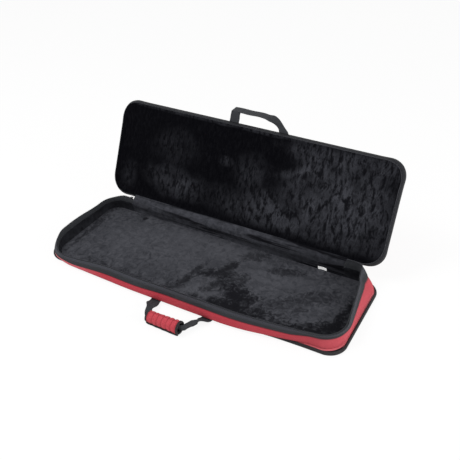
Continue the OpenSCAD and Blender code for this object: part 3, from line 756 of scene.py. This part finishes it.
def tray_wall():
    """The layers of the wall, each a profile swept round the tray."""

    def add(name, profile, made_of, nodes, start=0.0, end=WHOLE):
        return finished(name, swept(profile, tray_at, start, end), made_of, nodes, "tray")

    def sheet(name, line, t, made_of, nodes, flat, start=0.0, end=WHOLE):
        piece = add(name, layer_of(line, t), made_of, nodes, start, end)

    sheet("red_gusset", gusset_line, cloth_t, RED_WALL, ["tray_gusset"], (WHOLE, 0.036))
    band = eased([(0.0017, belt_z + 0.0003), (0.0010, belt_z + 0.003), (0.0016, belt_z + 0.009),
                  (0.003, band_top)], 9)
    sheet("zip_band", band, cloth_t, BAND, ["tray_zip_band"], (ZIP_RUN, 0.016), ZIP_FROM, ZIP_TO)
    foam_top = rim_z - 0.0052
    foam = [(0.0032, 0.0110), (0.0136, 0.0110), (0.0137, 0.030), (0.0136, 0.0560), (0.0096, foam_top),
            (0.0077, foam_top), (0.0046, 0.0558), (0.0030, 0.0420), (0.0022, 0.030), (0.0022, 0.020)]
    add("wall_padding", foam, FOAM, ["tray_wall_foam"])
    face = eased([(cavity_in, lining_z), (0.0150, 0.022), (0.0148, 0.034), (0.0160, 0.045),
                  (0.0164, 0.050)], 12)
    sheet("wall_plush_lining", face, backing_t, WALL_PLUSH_SHADED, ["tray_wall_lining"], (WHOLE, 0.040))
    facing = eased([(0.0150, 0.040), (0.0158, 0.052), (0.0132, 0.061), (0.0101, rim_z - 0.0036)], 10)
    past = 0.004
    sheet("band_facing", facing, cloth_t, BAND, (), (ZIP_RUN, 0.026), ZIP_FROM - past, ZIP_TO + past)
    tape = eased([(0.0030, band_top + 0.0003), (0.0042, band_top + 0.004), (0.0058, band_top + 0.0075),
                  (0.0069, rim_z - 0.0033)], 8)
    sheet("tray_tape", tape, tape_t, TAPE, ["tray_zip_tape"], (ZIP_RUN, 0.011), ZIP_FROM, ZIP_TO)


def zip_coil(name, node, body, at, centre_z, pitch=0.0034, wire=0.00055, steps=8, sides=5):
    """One side of the zip: a nylon wire wound round its sewing line."""
    short = 0.004
    start, end = ZIP_FROM + short, ZIP_TO - short
    turns = round((end - start) / pitch)

    def spot(i, j):
        s = start + (end - start) * i / (turns * steps)
        a, b = 2 * math.pi * i / steps, 2 * math.pi * j / sides
        r = coil_r - wire + wire * np.cos(b)
        x, y, z = at(s + wire * np.sin(b), coil_in + r * np.cos(a), centre_z + r * np.sin(a) * 0.95)
        return x, y, z, s, j * 0.0007

    mesh = laid_out(turns * steps, sides, spot, close_v=True, caps=True)
    finished(name, mesh, COIL_WITH_PAINTED_HIGHLIGHT, [node], body, 180)


def floor():
    """The plush of the floor, which rises a little where it meets the wall."""
    in_by = cavity_in + lean_in(floor_z) - 0.001
    long, wide = half_l - in_by, half_w - in_by
    nu, nv, at = board_grid(long, wide, base_r - in_by + 0.006, 0.006)
    lowest = floor_z - 0.0013

    def spot(i, j):
        x, y, d = at(i, j)
        puff = 0.0012 * swell(x, y, 0.17, 11) * smooth(d / 0.05)
        dimples = 0.0007 * swell(x, y, 0.05, 12) * smooth(d / 0.03)
        z = floor_z - 0.0004 + puff + dimples
        z = z + 0.0016 * (1 - smooth(d / 0.006))
        px, py, _ = settled(x, y, z)
        return px, py, np.maximum(z, lowest), x, y

    piece = finished("floor_plush_lining", laid_out(nu, nv, spot), FLOOR_PLUSH, ["floor_lining"], "tray")
    thick(piece, backing_t, (0, 0, 1))
    2 * long
    2 * wide


def hinge_strip(name, line, t, made_of, nodes, drape=None, rows=22, n=150):
    """Cloth or plush shaped round the hinge where the lid turns, closed round its section; drape says
    how far it stands off its line."""
    xs = np.linspace(-hinge_x, hinge_x, n + 1)
    middle = eased(line, rows)
    width = travelled(middle)
    step = np.gradient(middle, axis=0)
    outwards = np.column_stack([-step[:, 1], step[:, 0]]) / np.hypot(step[:, 0], step[:, 1])[:, None]
    loop = np.concatenate([middle, (middle + outwards * t)[::-1], middle[:1]])
    along = np.concatenate([width, width[::-1] + width[-1] + t, [0]])
    over = np.sin(np.linspace(0, math.pi, rows))
    push = np.concatenate([over, np.sin(np.linspace(math.pi, 0, rows)), [0]])

    def spot(i, j):
        off = push[j] * drape(xs[i], along[j] % width[-1]) if drape else 0
        return xs[i], loop[j, 0] + off * 0.4, loop[j, 1] + off, xs[i], along[j]

    mesh = laid_out(n, len(loop) - 1, spot, close_v=True, caps=True)
    piece = finished(name, mesh, made_of, nodes)
    lean = 0.003
    hinge_y - lean * 0.75
    hinge_z - lean * 0.66
    hinge_y + lean * 0.75
    hinge_z + lean * 0.66
    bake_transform(piece)


def hinge():
    """Cloth outside and plush inside, from the tray's wall over to the lid."""

    def on_wall(in_by, z, at_z=None):
        return half_w - in_by - lean_in(z), z if at_z is None else at_z

    def on_lid(v, t):
        return opened(0, hinge_y - hinge_out - v, t)[1:]

    def creased(x, t):
        return 0.0012 * swell(x * 0.25, t, 0.012, 21) + 0.0010 * swell(x, t * 3, 0.11, 22)

    outer = [on_wall(0.0016, belt_z, belt_z + 0.0003), on_wall(0.0016, 0.052), on_wall(0.0024, 0.062),
             (hinge_y - 0.0004, hinge_z - 0.002), (hinge_y + 0.0004, hinge_z + 0.0012),
             on_lid(0.0002, 0.0035), on_lid(0.0022, 0.009), on_lid(0.003, 0.0138)]
    inner = [on_wall(0.0182, 0.040), on_wall(0.0178, 0.050), on_wall(0.0150, 0.060),
             on_wall(0.0105, 0.067, 0.0675), (hinge_y - 0.0050, hinge_z + 0.0012),
             on_lid(0.0085, 0.0005), on_lid(0.0125, 0.0052)]
    hinge_strip("hinge_cloth", outer, tape_t, LID_BAND, ["tray_hinge_panel", "lid_hinge_panel"])
    hinge_strip("hinge_plush", inner[::-1], backing_t, STRIP_PLUSH_LIT,
                ["tray_hinge_lining", "lid_hinge_lining"], creased)


def label(nu=24, nv=12):
    """A blank tab that hangs a little forward of its seam."""
    low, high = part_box("care_label")
    mid, long, tall = (low.x + high.x) / 2, high.x - low.x, high.z - low.z
    seam_y, seam_z = high.y - 0.0008, low.z - 0.0012

    def spot(i, j):
        u, v = i / nu - 0.5, j / nv
        y = seam_y - 0.0034 * v ** 1.5 + 0.0008 * np.sin(6 * u + 1) * v
        return mid + u * long * 0.85, y, seam_z + tall * v * 0.9, u * long, v * tall

    piece = finished("blank_label", laid_out(nu, nv, spot), LABEL, ["care_label"], "tray")
    thick(piece, 0.0005, (0, -1, 0.2))


# ---------------------------------------------------------------- lid
def lid():
    """Cloth, piping, edge band and tape outside, and the deep plush inside."""
    lid_back = (0, math.sin(lid_open), math.cos(lid_open))

    def sheet(name, mesh, made_of, node, flat):
        piece = finished(name, mesh, made_of, [node], "lid")
        return piece

    def outside(i, j):
        x, y, d = at(i, j)
        puff = 0.0008 * swell(x, y, 0.16, 31) * smooth(d / 0.04)
        t = lid_depth - 0.0012 + 0.0026 * smooth(d / 0.02) + puff
        px, py, _ = squared(x, y, lid_r)
        return (*opened(px, py, t), x, y)

    def cord_at(s, in_by, t):
        x, y, _ = squared(*wall_line(s, in_by, lid_r, lid_long, lid_wide), lid_r)
        return opened(x, y, t + 0.0007 * swell(s, s * 0, 0.13, 33))

    panel = (2 * lid_long, 2 * lid_wide)
    nu, nv, at = board_grid(lid_long - panel_in, lid_wide - panel_in, lid_r - panel_in, 0.009)
    cloth = sheet("lid_outer_cloth", laid_out(nu, nv, outside), RED, "lid_panel", panel)
    thick(cloth, cloth_t, lid_back)
    cord_r = 0.003
    cord = swept(round_profile(cord_r, lid_depth - cord_r, cord_r), cord_at)
    finished("lid_piping_cord", cord, PIPING, ["lid_piping"], "lid")
    edge = eased([(0.0030, 0.0142), (0.0014, 0.0170), (0.0008, 0.0200), (0.0011, 0.0224)], 7)
    band = swept(layer_of(edge, cloth_t), lid_at)
    sheet("lid_edge_band", band, LID_BAND, "lid_gusset", (WHOLE, 0.011))
    line = eased([(0.0069, 0.0043), (0.0056, 0.0078), (0.0040, 0.0112), (0.0030, 0.0138)], 8)
    tape = swept(layer_of(line, tape_t), lid_at, ZIP_FROM, ZIP_TO)
    sheet("lid_tape", tape, LID_TAPE_SHADED, "lid_zip_tape", (ZIP_RUN, 0.0105))

    lip = 0.0081
    nu, nv, on_board = board_grid(lid_long - lip, lid_wide - lip, rim_r - lip, 0.0055)

    def pile(i, j):
        x, y, d = on_board(i, j)
        px, py, pull = squared(x, y, rim_r)
        low = 0.0066 - 0.0009 * np.minimum(pull / 0.002, 1)
        deep = low + 0.0042 * smooth((d - 0.001 - 1.4 * pull) / 0.011)
        deep = deep - 0.0004 * smooth(1 - d / 0.004)
        inside = smooth((d - 0.008) / 0.03)
        puff = (0.0011 * swell(x, y, 0.15, 41) + 0.0007 * swell(x, y * 0.35, 0.034, 42)
                + 0.0004 * swell(x, y * 0.4, 0.016, 43))
        return (*opened(px, py, deep - inside * np.clip(puff, -0.0012, 0.004)), x, hinge_y - y)

    lining = sheet("lid_plush_lining", laid_out(nu, nv, pile), LID_PLUSH, "lid_lining", panel)
    thick(lining, plush_t - 0.0008, [-v for v in lid_back])


# ---------------------------------------------------------------- zip sliders
def rounded_block(bm, size, centre, bevel=0.0005, segments=2):
    """A block with rounded edges, added to a bmesh."""
    place = Matrix.Translation(centre) @ Matrix.Diagonal((*size, 1))
    corners = bmesh.ops.create_cube(bm, size=1.0, matrix=place)["verts"]
    edges = list({e for v in corners for e in v.link_edges})
    bmesh.ops.bevel(bm, geom=edges, offset=bevel, segments=segments, profile=0.5, affect="EDGES",
                    material=-1)


def slider(side):
    """A slider whose two plates are joined by a nose, with rails out to its pull, and the pull tab."""
    name = "slider_left" if side < 0 else "slider_right"
    pull = name.replace("slider", "pull")
    low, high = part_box(name)
    pull_low, pull_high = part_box(pull)
    x, y = (low.x + high.x) / 2, half_w - rim_in - coil_in
    bm = bmesh.new()
    for plate_y in (y - 0.0026, y + 0.0026):
        rounded_block(bm, (0.011, 0.0013, 0.0066), (x, plate_y, hinge_z), 0.0006, 3)
        rounded_block(bm, (0.0035, 0.0013, 0.0088), (x + side * 0.0034, plate_y, hinge_z), 0.0006, 3)
    rounded_block(bm, (0.005, 0.0045, 0.0009), (x + side * 0.002, y, hinge_z), 0.0003)
    rail_y = y + 0.003
    reach = high.y - rail_y
    for rail_x in (x - 0.0035, x + 0.0035):
        rounded_block(bm, (0.0012, reach, 0.0028), (rail_x, rail_y + reach / 2, hinge_z), 0.0004)
    finished(name + "_body", mesh_of(bm), ENAMEL, [name], name, 35)

    y = (pull_low.y + pull_high.y) / 2
    bm = bmesh.new()
    foot = pull_low.z + 0.0026
    stem = hinge_z - foot - 0.006
    rounded_block(bm, (0.0046, 0.0016, 0.0022), (x, y, hinge_z), 0.0006, 3)
    rounded_block(bm, (0.0034, 0.001, stem), (x, y, (hinge_z + foot + 0.004) / 2), 0.0004)
    rounded_block(bm, (0.0048, 0.0011, 0.012), (x, y, foot + 0.004), 0.0005, 3)
    for k in range(4):
        rounded_block(bm, (0.0036, 0.0015, 0.0007), (x, y, foot + 0.0005 + 0.0022 * k), 0.0002, 1)
    finished(pull + "_tab", mesh_of(bm), TAB, [pull], pull, 35)


def zip_stops():
    """A bound stop at each end of the zip, with a line of stitches over it."""
    low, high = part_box("tray_zip_stops")
    bm = bmesh.new()
    for side in (-1, 1):
        centre = (side * (high.x - 0.0015), (low.y + high.y) / 2, (low.z + high.z) / 2)
        rounded_block(bm, (0.003, 0.0038, 0.003), centre, 0.0007, 3)
        rounded_block(bm, (0.0008, 0.0041, 0.0033), centre, 0.0003, 1)
    finished("zip_end_stops", mesh_of(bm), PIPING, ["tray_zip_stops"], "tray", 35)


# ---------------------------------------------------------------- handles
def strap(path, across, width, t):
    """Webbing that follows a path, lying across a direction at each point. Its width and
    thickness may change along it, where it is folded."""
    line, wide = np.array(path, float), np.array(across, float)
    wide = wide / np.linalg.norm(wide, axis=1)[:, None]
    flat = np.cross(np.gradient(line, axis=0), wide)
    flat = flat / np.linalg.norm(flat, axis=1)[:, None]
    far = travelled(line)
    half_width, half_t = (np.broadcast_to(v, len(line)) / 2 for v in (width, t))
    side = np.array([1, 0.98, 0.93, 0.5, 0, -0.5, -0.93, -0.98])
    height = np.array([0, 0.8, 1, 1, 1, 1, 1, 0.8])
    ring = np.array([*zip(-side, -height), *zip(side, height), (-1, 0)])

    def spot(i, j):
        out = half_width[i] * ring[j, 0]
        q = line[i] + wide[i] * out[:, None] + flat[i] * (half_t[i] * ring[j, 1])[:, None]
        return q[:, 0], q[:, 1], q[:, 2], far[i], out

    return laid_out(len(line) - 1, len(ring) - 1, spot, close_v=True, caps=True)


def lid_handle():
    """A strap stands up off the lid's edge, folds flat across the hand and twists down again."""
    low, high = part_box("lid_handle_webbing")
    foot_y, foot_z = joints["lid_handle_fold"]["pos_m"][1:]
    past_upright = lid_open - math.pi / 2
    up_y, up_z = math.sin(past_upright), math.cos(past_upright)
    left, right = low.x + web_w / 2 - 0.005, high.x - web_w / 2 - 0.005
    tall = (high.z - 0.004 - foot_z) / up_z

    def at(x, h, b=0.0):
        """h up the handle from its foot, and b behind it."""
        return (x, foot_y + up_y * h + b, foot_z + up_z * h)

    f = np.linspace(0, 1, 24)
    upright = strap(
        eased([at(left, -0.003), at(left + 0.0004, tall * 0.35), at(left - 0.0006, tall * 0.7),
               at(left, tall - 0.0006)], len(f)),
        np.column_stack([np.ones_like(f), 0.05 * np.sin(5 * f), 0 * f]), web_w, web_t)
    f = np.linspace(0, 1, 96)
    end, half = right - 0.072, web_w / 2 - 0.001
    turn = rise(f, 0.60, 0.88)
    folded = 0.26 * rise(f, 0.58, 0.74) * (1 - rise(f, 0.88, 1.0))
    over = strap(
        eased([at(left - web_w / 2, tall - 0.0008, half), at(left, tall, half),
               at(left + 0.055, tall - 0.0012, half), at(end - 0.03, tall - 0.0005, half),
               at(end, tall - 0.0025, web_w / 2 - 0.004), at(end + 0.020, tall * 0.90, 0.011),
               at(right - 0.032, tall * 0.68, 0.007), at(right - 0.015, tall * 0.38, 0.003),
               at(right - 0.003, tall * 0.10, 0), at(right, -0.003)], len(f)),
        np.column_stack([rise(f, 0.60, 0.86), 1 - turn,
                         0.5 * rise(f, 0.58, 0.72) * (1 - rise(f, 0.80, 0.99))]),
        web_w * (1 - folded), web_t)
    finished("lid_handle_strap", joined([upright, over]), WEBBING, ["lid_handle_webbing"], "lid_handle")

    low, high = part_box("lid_handle_anchors")
    bm = bmesh.new()
    for x in (left, right):
        there = Matrix.Translation((x, (low.y + high.y) / 2, (low.z + high.z) / 2))
        old = set(bm.verts)
        rounded_block(bm, (web_w, 0.0070, 0.0014), (0, 0, 0))
        for seam_y in (-0.0022, 0.0022):
            rounded_block(bm, (web_w * 0.86, 0.0008, 0.0018), (0, seam_y, 0), 0.0003, 1)
        new = [v for v in bm.verts if v not in old]
        bmesh.ops.transform(bm, matrix=there @ Matrix.Rotation(-past_upright, 4, "X"), verts=new)
    finished("lid_handle_stitched_ends", mesh_of(bm), WEBBING, ["lid_handle_anchors"], "lid", 35)


def on_roll(x, r, a):
    """A place on the grip's roll, which is a little tighter at its left end and drawn in there."""
    f = (x + wrap_half) / (2 * wrap_half)
    r = r * (0.88 + 0.12 * f)
    return wrap_mid + x + 0.004 * (1 - f), wrap_y + r * np.cos(a), wrap_r + r * np.sin(a)


def shell(a0, a1, r0, r1, x0, x1, quilted=0.0, na=44, nx=84, soft=0.0):
    """A part of the roll, closed round its section: out along the outer face, back along the
    inner one. quilted is 1 for a pad that is sewn in ribs; soft rounds the ends."""
    down = np.linspace(1, 0, 4)[1:-1]
    turn = np.concatenate([np.linspace(a0, a1, na), np.full(len(down), a1),
                           np.linspace(a1, a0, na), np.full(len(down), a0), [a0]])
    deep = np.concatenate([np.ones(na), down, np.zeros(na), down[::-1], [1]])
    near = np.minimum(np.abs(turn - a0), np.abs(turn - a1)) * wrap_r

    def spot(i, j):
        x = x0 + (x1 - x0) * i / nx
        u = x / (2 * wrap_half) + 0.010 * np.sin(3 * turn[j]) * quilted
        channel = np.abs(np.sin(math.pi * wrap_ribs * u)) ** 0.6
        puff = 0.0006 * quilted * (1 + swell(x, turn[j] * wrap_r, 0.013, 51))
        r = r1 - 0.0024 * (1 - channel) * quilted - puff
        end = np.minimum(x - x0, x1 - x)
        ease = smooth(end / 0.004) * smooth(near[j] / 0.003)
        r = r1 - (r1 - r) * ease - (1 - ease) * soft
        return *on_roll(x, r0 + (r - r0) * deep[j], turn[j]), x, turn[j] * wrap_r

    return laid_out(nx, len(turn) - 1, spot, close_v=True, caps=True)


def edge_roll(a, r, t, nx=90, sides=14):
    """The binding that is rolled over the free edge of the flap, and stands out from it."""

    def spot(i, j):
        x = -wrap_half + 2 * wrap_half * i / nx
        b = 2 * math.pi * j / sides
        uneven = t * (1 + 0.12 * swell(x, x * 0, 0.03, 52))
        deep = uneven * np.sqrt(np.clip(1 - np.abs(x / wrap_half) ** 24, 0.05, 1))
        return *on_roll(x, r + deep * np.cos(b), a + deep * np.sin(b) / r), x, b * t

    return laid_out(nx, sides, spot, close_v=True, caps=True)


def grip():
    """The padded wrap: a fixed quilted shell and a flap that closes over it, both bound in black."""
    rad = math.radians
    bind, gap, strip_in = 0.0075, 0.0002, 0.008
    inner = wrap_r - wrap_t
    flap_inner = inner + 0.0016
    pad, strip = wrap_half - bind, wrap_half - strip_in

    under = shell(rad(240.5), rad(446), inner, wrap_r, -pad, pad, 1.0, 44, 140)
    finished("grip_pad", under, QUILT, ["wrap_body"], "tray_handle")
    over = shell(rad(90), rad(227), flap_inner, wrap_r, -pad, pad, 1.0, 32, 140)
    finished("grip_flap_pad", over, QUILT, ["wrap_flap"], "wrap_flap")

    def ends(a0, a1, r0):
        return [shell(rad(a0), rad(a1), r0, wrap_r + 0.0005, x0, x1, 0.0, 40, 6, 0.0012)
                for x0, x1 in ((-wrap_half, -pad - gap), (pad + gap, wrap_half))]

    bound = joined(ends(239, 447, inner))
    finished("grip_end_bindings", bound, PIPING, ["wrap_end_bindings"], "tray_handle")
    roll = edge_roll(rad(230), wrap_r + 0.0014, 0.0045)
    flap_bound = joined([*ends(88, 231, flap_inner), roll])
    finished("grip_flap_binding", flap_bound, PIPING, ["wrap_flap_binding"], "wrap_flap")
    loops = shell(rad(198.5), rad(251.5), inner - 0.0017, inner - 0.0004, -strip, strip, 0.0, 16, 40)
    finished("loop_tape", loops, HOOKS, ["wrap_loop_strip"], "tray_handle")
    hooked = shell(rad(200.5), rad(229.5), inner + 0.0002, inner + 0.0013, -strip, strip, 0.0, 12, 40)
    finished("hook_tape", hooked, HOOKS, ["wrap_hook_strip"], "wrap_flap")


def tray_handle():
    """Two straps come out from under the front, rise and run on, folded, through the grip."""
    low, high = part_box("tray_handle_webbing")
    foot_y, foot_z = joints["tray_handle_lift"]["pos_m"][1:]
    cy, cz = wrap_y, wrap_r
    left, right = low.x + web_w / 2, high.x - web_w / 2
    grip_left, grip_right = wrap_low.x, wrap_high.x
    f = np.linspace(0, 1, 90)
    thicker = 0.8
    # The left strap lies flat until it is behind the grip, and turns into its end there
    turn = rise(f, 0.62, 0.86)
    spread = 0.10 * np.exp(-((f - 0.34) / 0.10) ** 2)
    left_strap = strap(
        eased([(left, foot_y, foot_z + 0.0004), (left + 0.005, foot_y - 0.022, foot_z + 0.0006),
               (left + 0.009, foot_y - 0.040, 0.0065), (left + 0.013, foot_y - 0.058, 0.0150),
               (left + 0.020, foot_y - 0.078, 0.0215), (left + 0.029, foot_y - 0.098, 0.0230),
               (grip_left - 0.002, cy + 0.007, cz - 0.0005), (grip_left + 0.010, cy, cz),
               (grip_left + 0.024, cy, cz)], len(f)),
        np.column_stack([1 - turn, turn, 0.12 * np.sin(9 * f)]),
        web_w * (1.06 + spread - 0.42 * rise(f, 0.40, 0.60)), web_t * (1 + thicker * rise(f, 0.5, 0.75)))
    # The right one twists on edge on its way
    twist = rise(f, 0.24, 0.50)
    spread = 0.14 * np.exp(-((f - 0.56) / 0.05) ** 2)
    right_strap = strap(
        eased([(right + 0.002, foot_y, foot_z + 0.0004), (right + 0.004, foot_y - 0.022, foot_z + 0.0006),
               (right, foot_y - 0.040, 0.0085), (right - 0.007, foot_y - 0.058, 0.0150),
               (right - 0.016, foot_y - 0.078, 0.0195), (right - 0.025, foot_y - 0.098, 0.0210),
               (grip_right + 0.007, cy + 0.006, cz - 0.001), (grip_right - 0.006, cy, cz),
               (grip_right - 0.022, cy, cz)], len(f)),
        np.column_stack([1 - twist, -0.30 * twist, twist]),
        web_w * (1.05 - 0.30 * twist + spread), web_t * (1 + thicker * rise(f, 0.40, 0.7)))
    line = eased([(grip_left + 0.010, cy, cz), (0.5 * (left + right), cy, cz),
                  (grip_right - 0.010, cy, cz)], 40)
    inside = strap(line, np.tile((0.0, 1.0, 0.0), (len(line), 1)), 0.0315, 0.0050)
    piece = finished("tray_handle_strap", joined([left_strap, right_strap, inside]), WEBBING,
                     ["tray_handle_webbing"])
    foot_y - 0.030
    foot_y - 0.065
    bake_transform(piece)


# ---------------------------------------------------------------- studio
def seen(f):
    """1 where a camera, glossy or transmission ray looks, and 0 where the light falls."""
    rays = f.node("LightPath")
    sharp = f.math("MAXIMUM", rays["Is Camera Ray"], rays["Is Glossy Ray"])
    return f.math("MAXIMUM", sharp, rays["Is Transmission Ray"])


def sky():
    """Even light all round, which looks white where it is seen."""
    f = Finish("studio", "worlds")
    soft = f.node("Background", None, {"Color": (1, 1, 1), "Strength": 0.55})[0]
    white = f.node("Background", None, {"Color": (1, 1, 1), "Strength": 1.0})[0]
    both = f.node("MixShader", None, {0: seen(f), 1: soft, 2: white})[0]
    f.node("OutputWorld", None, {"Surface": both})
    return f.made


def ground():
    """A pale floor that keeps the bag's shadow."""
    bm = bmesh.new()
    bmesh.ops.create_grid(bm, x_segments=1, y_segments=1, size=6)
    mesh = mesh_of(bm)
    mesh.name = "studio_floor"
    plane = bpy.data.objects.new("studio_floor", mesh)
    bpy.context.scene.collection.objects.link(plane)
    plane.location.z = -0.0004
    f = Finish("studio_floor")
    lit = f.node("BsdfDiffuse", None, {"Color": (0.9, 0.9, 0.9)})[0]
    glow = f.node("Emission", None, {"Color": (1, 1, 1), "Strength": 1.03})[0]
    both = f.node("MixShader", None, {0: seen(f) * 0.86, 1: lit, 2: glow})[0]
    f.node("OutputMaterial", None, {"Surface": both})
    mesh.materials.append(f.made)


def lamp(name, at, size, power, aim=Vector((0, 0.1, 0.1))):
    """A soft square lamp that looks at the bag."""
    light = bpy.data.lights.new(name, "AREA")
    light.size, light.energy = size, power
    held = bpy.data.objects.new(name, light)
    held.location = at
    held.rotation_euler = (aim - Vector(at)).to_track_quat("-Z", "Y").to_euler()
    bpy.context.scene.collection.objects.link(held)


def camera():
    """Looks at the bag from in front, from the right and from above."""
    azimuth, elevation, roll = (math.radians(a) for a in (29.69, 35.36, -1.34))
    aim, distance = Vector((0.0177, 0.1363, 0.1)), 2.4338
    back = Vector((math.sin(azimuth) * math.cos(elevation), -math.cos(azimuth) * math.cos(elevation),
                   math.sin(elevation)))
    right = Vector((math.cos(azimuth), math.sin(azimuth), 0))
    up = back.cross(right)
    x = right * math.cos(roll) + up * math.sin(roll)
    y = up * math.cos(roll) - right * math.sin(roll)
    lens = bpy.data.cameras.new("camera")
    lens.sensor_width, lens.lens = 36, 52.21957
    held = bpy.data.objects.new("camera", lens)
    place = Matrix((x, y, back)).transposed().to_4x4()
    place.translation = aim + back * distance
    held.matrix_world = place
    bpy.context.scene.collection.objects.link(held)
    bpy.context.scene.camera = held


# ---------------------------------------------------------------- put together
tray_base()
tray_wall()
floor()
label()
zip_coil("tray_coil", "tray_zip_coil", "tray", tray_at, rim_z - coil_r)
hinge()
lid()
zip_coil("lid_coil", "lid_zip_coil", "lid", lid_at, 0.0008 + coil_r)
lid_handle()
tray_handle()
grip()
slider(-1)
slider(1)
zip_stops()
for node in ("floor_foam_board", "lid_foam_board", "lid_edge_foam"):
    board = frame["nodes"][node].data.materials
    board.clear()
    board.append(FOAM[0])

bpy.context.scene.view_settings.view_transform = "Standard"
bpy.context.scene.world = sky()
lamp("key", (-1.4, -1.2, 2.8), 1.4, 44)
lamp("fill", (3.2, 0.1, 1.1), 1.6, 46)
ground()
camera()
